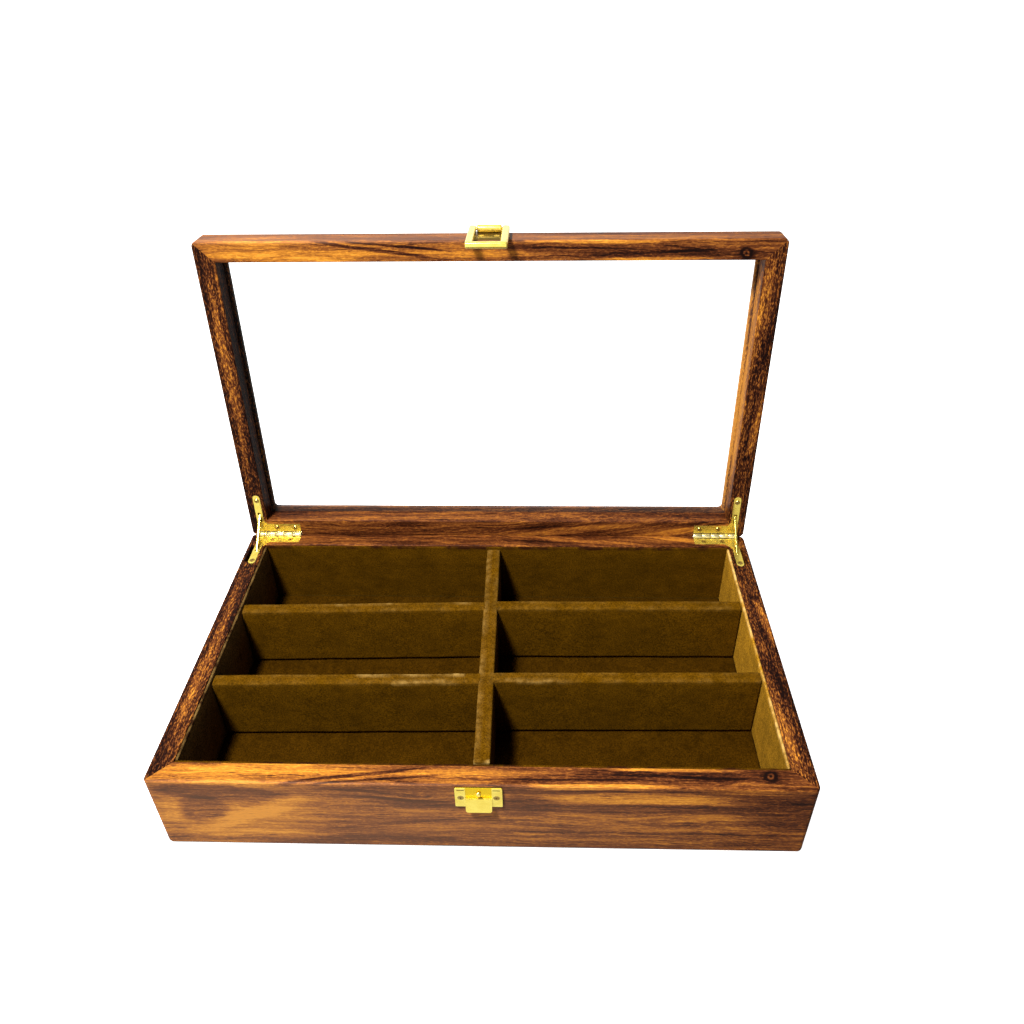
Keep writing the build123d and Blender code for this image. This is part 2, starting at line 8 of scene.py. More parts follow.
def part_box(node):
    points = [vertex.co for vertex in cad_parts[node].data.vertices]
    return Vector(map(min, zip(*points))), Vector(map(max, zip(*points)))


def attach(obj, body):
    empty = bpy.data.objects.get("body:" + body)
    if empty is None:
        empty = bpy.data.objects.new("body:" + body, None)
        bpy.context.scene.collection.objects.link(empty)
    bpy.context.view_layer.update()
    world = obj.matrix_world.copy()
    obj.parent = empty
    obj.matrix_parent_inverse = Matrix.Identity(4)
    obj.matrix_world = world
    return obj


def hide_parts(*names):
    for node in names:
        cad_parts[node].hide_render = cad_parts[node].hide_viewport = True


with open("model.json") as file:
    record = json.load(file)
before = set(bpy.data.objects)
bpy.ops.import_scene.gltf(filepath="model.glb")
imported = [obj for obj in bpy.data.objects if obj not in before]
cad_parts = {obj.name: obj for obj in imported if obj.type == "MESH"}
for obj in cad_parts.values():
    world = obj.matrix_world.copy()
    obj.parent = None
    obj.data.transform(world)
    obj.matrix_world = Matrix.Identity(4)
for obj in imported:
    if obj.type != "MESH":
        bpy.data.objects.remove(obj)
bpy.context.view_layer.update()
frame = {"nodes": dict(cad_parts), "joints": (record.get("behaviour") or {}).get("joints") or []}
nodes = frame["nodes"]

MM = 0.001
OPEN_ANGLE = math.radians(next(j["range_deg"][1] for j in frame["joints"] if j["name"] == "lid_hinge"))
HINGE = Vector(next(j["pos_m"] for j in frame["joints"] if j["name"] == "lid_hinge"))
FRONT_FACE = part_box("front_board")[0].y / MM


# ---------------------------------------------------------------- node graphs
class Graph:
    """A material's node tree. Any input may be a number, a colour, a vector or another node's socket."""

    def __init__(self, name, shader="ShaderNodeBsdfPrincipled", world=False):
        self.material = (bpy.data.worlds if world else bpy.data.materials).new(name)
        self.material.use_nodes = True
        self.tree = self.material.node_tree
        self.tree.nodes.clear()
        self.shader = self.tree.nodes.new(shader)
        out = self.tree.nodes.new("ShaderNodeOutputWorld" if world else "ShaderNodeOutputMaterial")
        self.tree.links.new(self.shader.outputs[0], out.inputs["Surface"])

    def feed(self, socket, value):
        if isinstance(value, bpy.types.NodeSocket):
            self.tree.links.new(value, socket)
        elif socket.type == "RGBA" and len(value) == 3:
            socket.default_value = (*value, 1.0)
        else:
            socket.default_value = value

    def node(self, kind, inputs=None, output=0, **settings):
        made = self.tree.nodes.new(kind)
        for key, value in settings.items():
            setattr(made, key, value)
        for key, value in (inputs or {}).items():
            self.feed(made.inputs[key], value)
        return made.outputs[output]

    def set(self, **values):
        """Sets the shader's own inputs; underscores stand for spaces."""
        for key, value in values.items():
            self.feed(self.shader.inputs[key.replace("_", " ")], value)

    def math(self, operation, a, b=0.0, c=0.0, clamp=False):
        made = self.tree.nodes.new("ShaderNodeMath")
        made.operation = operation
        made.use_clamp = clamp
        for socket, value in zip(made.inputs, (a, b, c)):
            self.feed(socket, value)
        return made.outputs[0]

    def add(self, value, share, total):
        """total + share * value"""
        return self.math("MULTIPLY_ADD", value, share, total)

    def vector(self, operation, a, b):
        return self.node("ShaderNodeVectorMath", {0: a, 1: b}, operation=operation)

    def stretched(self, at, sizes):
        """Coordinates in units of the given sizes, in millimetres."""
        return self.vector("DIVIDE", at, sizes)

    def noise(self, at, detail=2.0, rough=0.5, warp=0.0):
        inputs = {"Vector": at, "Scale": 1.0, "Detail": detail, "Roughness": rough, "Distortion": warp}
        return self.node("ShaderNodeTexNoise", inputs)

    def blob(self, at, centre, radii, crisp=1.0, turn=(0.0, 0.0, 0.0)):
        """1 about the centre, falling to 0 at the radii; the crisper, the narrower its edge."""
        inputs = {"Vector": at, "Location": centre, "Rotation": turn, "Scale": radii}
        inside = self.node("ShaderNodeMapping", inputs, vector_type="TEXTURE")
        ball = self.node("ShaderNodeTexGradient", {"Vector": inside}, output=1, gradient_type="SPHERICAL")
        return self.math("MULTIPLY", ball, crisp, clamp=True)

    def split(self, at):
        """The x, y and z sockets of a vector."""
        parts = self.tree.nodes.new("ShaderNodeSeparateXYZ")
        self.feed(parts.inputs[0], at)
        return parts.outputs

    def ramp(self, value, stops, smooth=False):
        """Colours or greys along value. stops: (position, grey or colour)."""
        made = self.tree.nodes.new("ShaderNodeValToRGB")
        made.color_ramp.interpolation = "EASE" if smooth else "LINEAR"
        while len(made.color_ramp.elements) < len(stops):
            made.color_ramp.elements.new(0.5)
        for element, (position, colour) in zip(made.color_ramp.elements, stops):
            element.position = position
            element.color = (*colour, 1.0) if hasattr(colour, "__len__") else (colour, colour, colour, 1.0)
        self.feed(made.inputs[0], value)
        return made.outputs[0]

    def mix(self, share, a, b, blend="MIX"):
        made = self.tree.nodes.new("ShaderNodeMix")
        made.data_type = "RGBA"
        made.blend_type = blend
        for key, value in ((0, share), (6, a), (7, b)):
            self.feed(made.inputs[key], value)
        return made.outputs[2]

    def bump(self, height, strength, depth_mm):
        """Bump from a height of 0 to 1 that stands for depth_mm."""
        inputs = {"Height": height, "Strength": strength, "Distance": depth_mm * MM}
        normal = self.node("ShaderNodeBump", inputs)
        self.feed(self.shader.inputs["Normal"], normal)

    def millimetres(self, closed_lid=False):
        """The piece's own coordinates in millimetres, those of the lid as they are when it is shut."""
        at = self.node("ShaderNodeTexCoord", output=3)
        if closed_lid:
            at = self.node("ShaderNodeVectorRotate", {"Vector": at, "Center": HINGE, "Angle": OPEN_ANGLE},
                           rotation_type="X_AXIS")
        return self.node("ShaderNodeVectorMath", {0: at, 3: 1.0 / MM}, operation="SCALE")


# ---------------------------------------------------------------- wood
WOOD_TONES = [
    (0.00, (0.005, 0.0012, 0.0006)),
    (0.18, (0.022, 0.0052, 0.0016)),
    (0.36, (0.075, 0.0195, 0.0048)),
    (0.52, (0.165, 0.0500, 0.0100)),
    (0.68, (0.290, 0.0980, 0.0130)),
    (0.84, (0.420, 0.1560, 0.0150)),
    (1.00, (0.580, 0.2350, 0.0250)),
]

# Marks in the carcass before the lid is sawn off: place and radii in millimetres, how far each shifts
# the tone, how crisp its edge is and how it is turned, in degrees about Y and Z. Most are figure in the wood;
# the dark band along the foot of the front face is painted shade, and the light strip on the inner face of the
# lid's right stile is painted light.
FACE = -115.0
RIM = -107.5
KNOT = (164.5, -105.3, 61)
FRONT_MARKS = [
    ((-150, FACE, 24), (72, 6, 60), 0.40, 1.0, (0, 0)),
    ((-150, FACE, 51.5), (44, 6, 8.5), -0.34, 4.0, (3, 0)),
    ((-161, FACE, 35), (17, 6, 17), -0.30, 3.0, (-20, 0)),
    ((-182, FACE, 36), (9, 6, 14), 0.16, 2.0, (0, 0)),
    ((-134, FACE, 32), (50, 6, 8), 0.26, 2.0, (-24, 0)),
    ((-88, FACE, 42), (38, 6, 22), -0.03, 1.4, (0, 0)),
    ((-60, FACE, 54), (34, 6, 2.0), -0.22, 3.0, (7, 0)),
    ((-46, FACE, 48), (38, 6, 1.6), -0.22, 3.0, (4, 0)),
    ((-34, FACE, 43), (38, 6, 4.5), -0.22, 2.0, (3, 0)),
    ((-124, FACE, 15), (26, 6, 3.4), 0.26, 2.0, (0, 0)),
    ((-120, FACE, 15), (15, 6, 1.3), -0.20, 2.0, (0, 0)),
    ((30, FACE, 30), (135, 6, 8), 0.09, 1.5, (0, 0)),
    ((-53, FACE, 24.5), (46, 6, 1.8), -0.22, 2.5, (-8, 0)),
    # Painted shade: a dark band along the foot of the front face, the shade of the rounded bottom arris.
    ((0, FACE, 3), (260, 6, 8), -0.14, 1.5, (0, 0)),
    ((27, FACE, 43), (24, 6, 13), -0.22, 2.4, (0, 0)),
    ((88, FACE, 41), (82, 6, 6.5), -0.22, 2.4, (0, 0)),
    ((92, FACE, 51.5), (60, 6, 6.5), 0.24, 4.0, (0, 0)),
    ((95, FACE, 18), (110, 6, 1.3), -0.20, 3.0, (0, 0)),
    ((92, FACE, 57.6), (70, 6, 1.4), -0.24, 3.0, (0, 0)),
    ((176, FACE, 42), (36, 6, 30), -0.16, 1.6, (0, 0)),
    ((-112, RIM, 61), (86, 13, 6), 0.26, 2.0, (0, 0)),
    ((-76, RIM - 1.5, 61), (48, 1.5, 5), -0.40, 3.0, (0, 8)),
    ((-58, RIM - 3.5, 61), (42, 1.1, 5), -0.34, 3.0, (0, 6)),
    ((-10, RIM, 61), (42, 9, 5), 0.13, 2.0, (0, 0)),
    ((92, RIM, 61), (100, 8, 6), -0.16, 2.0, (0, 0)),
    ((55, RIM - 1.5, 61), (52, 1.0, 4), -0.24, 2.5, (0, 1)),
    ((112, RIM + 1, 61), (48, 1.1, 4), -0.24, 2.5, (0, -2)),
    ((112, RIM + 5.4, 61), (46, 1.7, 4), 0.42, 2.5, (0, 0)),
    ((65, RIM - 5.8, 61), (50, 1.8, 3), 0.38, 2.5, (0, 0)),
    (KNOT, (7, 5, 30), -0.22, 2.0, (0, 0)),
    (KNOT, (4.3, 4.3, 30), -0.30, 3.0, (0, 0)),
    (KNOT, (2.6, 2.6, 30), 0.55, 3.0, (0, 0)),
    (KNOT, (1.0, 1.0, 30), -0.50, 2.0, (0, 0)),
    ((0, FACE, 73), (260, 5, 12), -0.06, 2.0, (0, 0)),
]
BACK_MARKS = [
    ((110, 107, 64), (90, 5, 22), 0.14, 1.6, (0, 3)),
    ((60, 104, 64), (60, 2, 22), -0.18, 2.0, (0, -4)),
    ((-60, 107, 64), (80, 14, 18), -0.06, 1.0, (0, 0)),
    ((60, 114, 25), (120, 10, 20), 0.10, 1.0, (4, 0)),
]
LEFT_MARKS = [
    ((-184.2, -17, 61), (3.2, 86, 6), 0.20, 2.4, (0, 0)),
    ((-188.6, 0, 61), (2.4, 125, 4), -0.14, 2.0, (0, 0)),
    ((-191, -40, 30), (6, 60, 14), 0.16, 1.0, (0, 0)),
    ((-193, 0, 40), (3.2, 170, 60), 0.20, 2.2, (0, 0)),
]
RIGHT_MARKS = [
    ((188, 20, 61), (4, 30, 4), 0.24, 2.4, (0, 8)),
    ((184, -30, 61), (4, 24, 4), -0.20, 2.4, (0, 10)),
    ((181, -74, 61), (4, 32, 4), 0.22, 2.4, (0, 6)),
    ((185, 45, 61), (4, 3, 4), -0.24, 2.0, (0, 0)),
    ((190.6, 0, 61), (1.4, 125, 4), -0.20, 2.0, (0, 0)),
    ((191, -30, 30), (6, 70, 14), 0.14, 1.0, (0, 0)),
    ((193, 0, 40), (3.2, 170, 60), 0.22, 2.2, (0, 0)),
    # Painted light: a strong light strip along the inner face of the lid's right stile, which faces the key
    # light.
    ((175.5, 0, 73), (3.8, 140, 16), 0.75, 2.4, (0, 0)),
]


def wood(name, along_y, in_lid, marks, base_tone, curl, lean=0.0, pale=0.0):
    """Figured rosewood under satin varnish: swaying bands and lines, the marks, curly flecks and open pores.

    lean is the slope at which the grain runs out to the back right of the middle; it makes the open
    lid and the rim mirror each other in chevrons. pale is how far the front face is made paler, most towards
    its left end.
    """
    g = Graph(name)
    at = g.millimetres(in_lid)
    grain = at
    if along_y:
        x, y, z = g.split(at)
        grain = g.node("ShaderNodeCombineXYZ", {0: y, 1: x, 2: z})
    if lean:
        x, y, z = g.split(at)
        runout = g.math("MULTIPLY", g.math("MAXIMUM", x, 0.0), lean)
        grain = g.vector("ADD", at, g.node("ShaderNodeCombineXYZ", {1: runout}))
    sway_inputs = {"Vector": g.stretched(grain, (46, 12, 12)), "Scale": 1.0, "Detail": 2.0}
    sway = g.node("ShaderNodeTexNoise", sway_inputs, output=1)
    sway = g.vector("SUBTRACT", sway, (0.5, 0.5, 0.5))
    grain_sway = (8.0, 5.0, 5.0) if along_y else (8.0, 6.0, 8.0)
    mark_sway = (2.2, 5.0, 2.2) if along_y else (9.0, 3.2, 3.6)
    flow = g.vector("ADD", grain, g.vector("MULTIPLY", sway, grain_sway))
    bent = g.vector("ADD", at, g.vector("MULTIPLY", sway, mark_sway))
    layers = (
        (g.noise(g.stretched(flow, (120, 10, 10)), detail=2), 0.34, 0.66, 0.26),
        (g.noise(g.stretched(flow, (85, 3.0, 3.0)), detail=3, rough=0.55), 0.38, 0.62, 0.17),
        (g.noise(g.stretched(flow, (60, 0.95, 0.95)), detail=3, rough=0.6), 0.36, 0.64, 0.22),
        (g.noise(g.stretched(flow, (11, 0.40, 0.40)), detail=2, rough=0.6), 0.32, 0.68, 0.15),
    )
    tone = base_tone - sum(share for _, _, _, share in layers) / 2
    for layer, low, high, share in layers:
        tone = g.add(g.ramp(layer, [(low, 0.0), (high, 1.0)]), share, tone)
    for centre, radii, shade, crisp, (about_y, about_z) in marks:
        here = g.blob(bent, centre, radii, crisp, (0, math.radians(about_y), math.radians(about_z)))
        tone = g.add(here, shade, tone)
    flecks = g.noise(g.stretched(flow, (2.6, 0.75, 0.75)), detail=1.5, rough=0.6, warp=0.6)
    tone = g.add(g.ramp(flecks, [(0.47, 0.0), (0.64, 1.0)]), curl, tone)
    lines = g.ramp(g.noise(g.stretched(flow, (34, 0.62, 0.62)), detail=2), [(0.30, 1.0), (0.40, 0.0)])
    tone = g.add(lines, -0.34, tone)
    pores = g.ramp(g.noise(g.stretched(grain, (4.5, 0.3, 0.3)), detail=1), [(0.32, 0.0), (0.42, 1.0)])
    colour = g.ramp(tone, WOOD_TONES)
    colour = g.mix(g.math("MULTIPLY_ADD", pores, -0.4, 0.4), colour, (0.012, 0.004, 0.003))
    if pale:
        # The front face is made paler, most towards its left end.
        paler_left = g.blob(at, (-120, FACE, 30), (300, 3.5, 70), 1.6)
        colour = g.mix(g.math("MULTIPLY", paler_left, pale), colour, (0.50, 0.25, 0.14))
    g.set(Base_Color=colour, Roughness=g.math("MULTIPLY_ADD", flecks, 0.2, 0.34), Coat_Weight=0.01,
          Coat_Roughness=0.24, Specular_IOR_Level=0.04)
    g.bump(g.math("ADD", pores, g.math("MULTIPLY", flecks, 0.5)), 0.3, 0.10)
    return g.material


def dress(names, material):
    """Gives CAD nodes that stay a finished material."""
    for name in names:
        mesh = nodes[name].data
        mesh.materials.clear()
        mesh.materials.append(material)


# ---------------------------------------------------------------- other materials
def brass(name, tint, rough, sunk_shade=(), in_lid=False, barrel=False):
    """Polished brass with faint rubbing marks. sunk_shade: (millimetres before the face, colour) pairs,
    outermost first; what lies that close to the wood is painted in that darker colour, as painted shade in
    recesses and under overhanging parts.

    barrel: the hinge barrel is painted pale yellow along its length as a painted highlight, and the crevices
    beside it near black as painted shade.
    """
    g = Graph(name)
    at = g.millimetres(in_lid)
    cloud = g.noise(g.stretched(at, (5, 5, 5)), detail=3)
    rubs = g.noise(g.stretched(at, (8, 1.5, 1.5)), detail=2)
    deeper = tuple(c * k for c, k in zip(tint, (0.90, 0.84, 0.66)))
    colour = g.mix(g.ramp(cloud, [(0.35, 0.0), (0.65, 1.0)]), tint, deeper)
    for before, hollow_shade in sunk_shade:
        # Painted shade: surfaces close to the wood, in recesses and under overhanging parts, take the darker
        # colour.
        inside = g.math("GREATER_THAN", g.split(at)[1], FRONT_FACE - before)
        colour = g.mix(inside, colour, hollow_shade)
    if barrel:
        across = g.vector("MULTIPLY", g.vector("SUBTRACT", at, tuple(HINGE / MM)), (0.0, 1.0, 1.0))
        reach = g.node("ShaderNodeVectorMath", {0: across}, output=1, operation="LENGTH")
        reach = g.math("DIVIDE", reach, 10.0)
        # Painted highlight along the hinge barrel, then painted shade in the crevices beside it.
        colour = g.mix(g.ramp(reach, [(0.203, 1.0), (0.208, 0.0)]), colour, (1.0, 0.90, 0.48))
        crevice_shade = g.ramp(reach, [(0.205, 0.0), (0.215, 1.0), (0.250, 1.0), (0.290, 0.0)])
        colour = g.mix(crevice_shade, colour, (0.10, 0.055, 0.006))
    g.set(Base_Color=colour, Metallic=0.85, Roughness=g.math("MULTIPLY_ADD", rubs, 0.10, rough - 0.05))
    g.bump(rubs, 0.04, 0.02)
    return g.material


def velvet(name, tone, worn_and_painted_light_tone=(0.50, 0.31, 0.09), streak=(4, 4, 4), streaks=0.26, front_shade=0.0):
    """Short-pile velvet, brushed in cloudy patches. The point attribute for wear and painted light mixes in the
    worn tone: on the dividers it bleaches folds, cut edges and scuffs and paints a highlight along the centre
    divider; on the back, front and left linings it paints shade along their top edges and ends, and on the
    right lining it makes its top edge pale.

    front_shade: how much the cloth is painted darker towards the front, as painted shade.
    """
    g = Graph(name)
    at = g.millimetres()
    cloud = g.noise(g.stretched(at, (16, 16, 12)), detail=3)
    nap = g.noise(g.stretched(at, streak), detail=4, rough=0.65)
    pile = g.noise(g.stretched(at, (0.9, 0.9, 0.9)), detail=3, rough=0.85)
    dark = tuple(c * (1.0 - streaks) for c in tone)
    light = tuple(c * (1.0 + streaks) for c in tone)
    brushed = g.add(cloud, 0.6, g.math("MULTIPLY", nap, 0.6))
    colour = g.mix(g.ramp(brushed, [(0.42, 0.0), (0.78, 1.0)]), dark, light)
    specks = g.ramp(pile, [(0.30, 0.0), (0.72, 1.0)])
    colour = g.mix(0.9, colour, g.mix(specks, (0.10, 0.09, 0.07), (2.1, 2.05, 1.9)), blend="MULTIPLY")
    if front_shade:
        # Painted shade: the cloth is darkened towards the front.
        forward = g.node("ShaderNodeMapRange", {0: g.split(at)[1], 1: 10.0, 2: -100.0, 3: 0.0, 4: front_shade})
        colour = g.mix(forward, colour, (0.0, 0.0, 0.0))
    # Where a point is marked, the cloth takes the worn tone: wear and folds on the dividers, a painted
    # highlight along the centre divider's left arris, painted shade along the top edges and ends of the
    # dark-edged linings.
    wear_and_painted_light = g.node("ShaderNodeAttribute", output=2, attribute_name="wear_and_painted_light")
    rubbed_and_painted_light = g.math("MULTIPLY", wear_and_painted_light, g.ramp(nap, [(0.38, 0.25), (0.60, 1.0)]), clamp=True)
    g.set(Base_Color=g.mix(rubbed_and_painted_light, colour, worn_and_painted_light_tone), Roughness=0.95, Specular_IOR_Level=0.0,
          Sheen_Weight=0.02, Sheen_Roughness=0.4, Sheen_Tint=(0.9, 0.66, 0.15, 1.0))
    g.bump(g.math("ADD", pile, nap), 0.6, 0.25)
    return g.material


def glass(name):
    """Clear pane: nearly nothing straight through, a faint reflection towards grazing angles."""
    g = Graph(name)
    smears = g.noise(g.stretched(g.millimetres(), (60, 40, 60)), detail=2)
    g.set(Base_Color=(0.45, 0.51, 0.48), Roughness=g.math("MULTIPLY_ADD", smears, 0.03, 0.01), Alpha=0.04,
          Specular_IOR_Level=0.5)
    g.bump(smears, 0.005, 0.01)
    return g.material


def plain_wood(name, light, dark):
    """Unfinished wood with straight fibres."""
    g = Graph(name)
    fibres = g.noise(g.stretched(g.millimetres(), (30, 0.8, 0.8)), detail=4)
    g.set(Base_Color=g.mix(fibres, dark, light), Roughness=g.math("MULTIPLY_ADD", fibres, 0.2, 0.6))
    g.bump(fibres, 0.4, 0.15)
    return g.material


# ---------------------------------------------------------------- stage
WORLD_STRENGTH = 2.2
KEY_TOWARDS = (-0.30, -0.36, 1.0)
KEY_DISTANCE = 1.6
KEY_SIZE = 0.22
KEY_WATTS = 61.0
LIT_POINT = (0.0, 0.0, 0.05)

CAMERA_PLACE = (0.0351, -0.4068, 0.4686)
CAMERA_YAW, CAMERA_PITCH, CAMERA_ROLL = -0.0375, -0.621, -0.0183
CAMERA_LENS_MM = 29.83
CAMERA_SHIFT = (-0.0032, -0.0128)


def studio():
    """White floor and backdrop, a key light from the upper left and a glow from the floor and the front.

    The floor is hidden from diffuse and glossy rays, so the world's glow stands for it and lights the
    object alone. Camera rays see the world plain white.
    """
    bpy.ops.mesh.primitive_plane_add(size=40.0, location=(0, 0, 0))
    floor = bpy.context.object
    floor.name = "floor"
    floor.visible_diffuse = False
    floor.visible_glossy = False
    g = Graph("floor_white")
    paper = g.noise(g.stretched(g.millimetres(), (400, 400, 400)), detail=1)
    g.set(Base_Color=g.mix(paper, (0.88, 0.88, 0.88), (0.9, 0.9, 0.9)), Roughness=0.9,
          Emission_Color=(1.0, 1.0, 1.0, 1.0), Emission_Strength=1.0)
    floor.data.materials.append(g.material)

    g = Graph("studio", "ShaderNodeBackground", world=True)
    direction = g.node("ShaderNodeTexCoord")
    x, y, z = g.split(g.node("ShaderNodeVectorMath", {0: direction, 1: (0.5, 0.5, 0.5), 2: (0.5, 0.5, 0.5)},
                             operation="MULTIPLY_ADD"))
    height = g.ramp(z, [(0.30, 0.55), (0.48, 0.80), (0.50, 1.0), (0.60, 1.0), (0.72, 0.05), (1.0, 0.02)])
    side = g.ramp(x, [(0.0, 1.0), (0.5, 0.85), (0.8, 0.25), (1.0, 0.12)])
    front = g.ramp(y, [(0.0, 1.0), (0.35, 0.9), (0.6, 0.45), (0.85, 0.9), (1.0, 0.9)])
    glow = g.math("MULTIPLY", g.math("MULTIPLY", height, side), front)
    card = g.node("ShaderNodeVectorMath", {0: direction, 1: Vector((-0.07, 0.55, 0.83)).normalized()}, output=1,
                  operation="DOT_PRODUCT")
    glow = g.add(g.ramp(card, [(0.88, 0.0), (0.96, 1.0)]), 0.75, glow)
    seen = g.node("ShaderNodeLightPath")
    glow = g.math("MULTIPLY_ADD", seen, g.math("SUBTRACT", 1.0 / WORLD_STRENGTH, glow), glow)
    g.feed(g.shader.inputs["Color"], g.node("ShaderNodeCombineColor", {0: glow, 1: glow, 2: glow}))
    g.feed(g.shader.inputs["Strength"], WORLD_STRENGTH)
    bpy.context.scene.world = g.material

    data = bpy.data.lights.new("key", "AREA")
    data.size = KEY_SIZE
    data.energy = KEY_WATTS
    key = bpy.data.objects.new("key", data)
    bpy.context.scene.collection.objects.link(key)
    aim = Vector(LIT_POINT)
    key.location = aim + Vector(KEY_TOWARDS).normalized() * KEY_DISTANCE
    key.rotation_mode = "QUATERNION"
    key.rotation_quaternion = (aim - key.location).to_track_quat("-Z", "Y")

    data = bpy.data.cameras.new("camera")
    camera = bpy.data.objects.new("camera", data)
    bpy.context.scene.collection.objects.link(camera)
    yaw, pitch, roll = CAMERA_YAW, CAMERA_PITCH, CAMERA_ROLL
    forward = Vector((math.sin(yaw) * math.cos(pitch), math.cos(yaw) * math.cos(pitch), math.sin(pitch)))
    right = forward.cross(Vector((0, 0, 1))).normalized()
    up = right.cross(forward)
    right, up = (right * math.cos(roll) + up * math.sin(roll), up * math.cos(roll) - right * math.sin(roll))
    place = Matrix((right, up, -forward)).transposed().to_4x4()
    place.translation = Vector(CAMERA_PLACE)
    camera.matrix_world = place
    data.sensor_width = 36.0
    data.lens = CAMERA_LENS_MM
    data.shift_x, data.shift_y = CAMERA_SHIFT
    data.clip_start = 0.01
    data.clip_end = 100.0
    bpy.context.scene.camera = camera
    bpy.context.scene.view_settings.view_transform = "Standard"


# ---------------------------------------------------------------- finishing the CAD pieces
def soften(names, width_mm, angle=30.0):
    """Rounds the sharp arrises of CAD nodes that stay."""
    for name in names:
        piece = nodes[name]
        weld = piece.modifiers.new("weld", "WELD")
        weld.merge_threshold = 1e-6
        bevel = piece.modifiers.new("bevel", "BEVEL")
        bevel.width = width_mm * MM
        bevel.segments = 2
        bevel.limit_method = "ANGLE"
        bevel.angle_limit = math.radians(angle)
        bevel.harden_normals = True


# ---------------------------------------------------------------- velvet pieces
def skin(name, rows, wear_and_painted_light, material, closed=False):
    """A piece from rows of points, each as long as the next; the list of wear and painted light gives one value
    for each point.
    """
    mesh = bpy.data.meshes.new(name)
    count = len(rows[0])
    faces = []
    for i in range(len(rows) - 1):
        for k in range(count if closed else count - 1):
            n = (k + 1) % count
            faces.append((i * count + k, i * count + n, (i + 1) * count + n, (i + 1) * count + k))
    if closed:
        faces.append(tuple(range(count))[::-1])
        faces.append(tuple((len(rows) - 1) * count + k for k in range(count)))
    mesh.from_pydata([p for row in rows for p in row], [], faces)
    mesh.validate()
    mesh.polygons.foreach_set("use_smooth", [True] * len(mesh.polygons))
    mesh.attributes.new("wear_and_painted_light", "FLOAT", "POINT").data.foreach_set("value", [w for row in wear_and_painted_light for w in row])
    mesh.materials.append(material)
    piece = bpy.data.objects.new(name, mesh)
    bpy.context.scene.collection.objects.link(piece)
    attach(piece, "base")
    return piece


def slab_section(half, low, high, round_mm, step_mm):
    """Outline of an upright panel, foot to foot over its rounded top: (across, up, nearness to an arris)."""
    r = round_mm * MM
    rise = int((high - r - low) / (step_mm * MM))
    side = [(half, low + (high - r - low) * i / rise, 0.0) for i in range(rise)]
    arc = [math.pi / 2 * i / 5 for i in range(6)]
    corner = [(half - r + r * math.cos(a), high - r + r * math.sin(a), 1.0) for a in arc]
    top = [(0.0, high + 0.1 * MM, 0.15)] if half - r > 0.4 * MM else []
    outline = side + corner + top
    return outline + [(-across, up, near) for across, up, near in reversed(side + corner)]


def sample(point, size_mm, amount_mm, seed=0.0):
    """Smooth noise in metres, at most about amount_mm either way."""
    return noise.noise(point * (1.0 / (size_mm * MM)) + Vector((seed, seed, seed))) * amount_mm * MM


def node_axis(name):
    """Ends of a long upright node's middle line at its top, and its half thickness."""
    points = [v.co for v in nodes[name].data.vertices]
    low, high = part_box(name)
    long = 0 if high.x - low.x > high.y - low.y else 1
    ends = []
    halves = []
    for limit, sign in ((low[long], 1), (high[long], -1)):
        near = [p for p in points if sign * (p[long] - limit) < 3.0 * MM]
        across = [p[1 - long] for p in near]
        middle = (min(across) + max(across)) / 2
        halves.append((max(across) - min(across)) / 2)
        ends.append(Vector((limit, middle, 0)) if long == 0 else Vector((middle, limit, 0)))
    return ends[0], ends[1], min(halves)


# Scuffed arrises, and one painted highlight: from and to along the divider in millimetres, which side (1 is
# left or rear) and how much lighter the arris is painted.
SCUFFS_AND_HIGHLIGHTS = {
    # Painted highlight: the first entry lightens the whole left arris of the centre divider, which faces the
    # key light; the others are scuffs and worn folded ends.
    "centre_divider_cover": [(-120, 120, 1, 0.13), (-120, -95.5, 1, 0.8), (-120, -95.5, -1, 0.6)],
    "left_front_divider_cover": [(-84, -14, 1, 0.34), (-60, -12, -1, 0.20)],
    "left_rear_divider_cover": [(-112, -70, 1, 0.18), (-40, -14, 1, 0.16)],
    "right_front_divider_cover": [(12, 50, -1, 0.16)],
}


def scuff_and_highlight(node, run, offset):
    """How much lighter an arris is painted at a place along its divider, for scuffs and for the painted
    highlight.
    """
    marks = [worn_and_painted_light for low, high, side, worn_and_painted_light in SCUFFS_AND_HIGHLIGHTS.get(node, ())
             if low < run / MM < high and offset * side > 0]
    patch = noise.noise(Vector((run * 75.0, offset * 900.0, 0.5)))
    return max(marks, default=0.0) * max(0.0, 0.55 + 1.3 * patch)


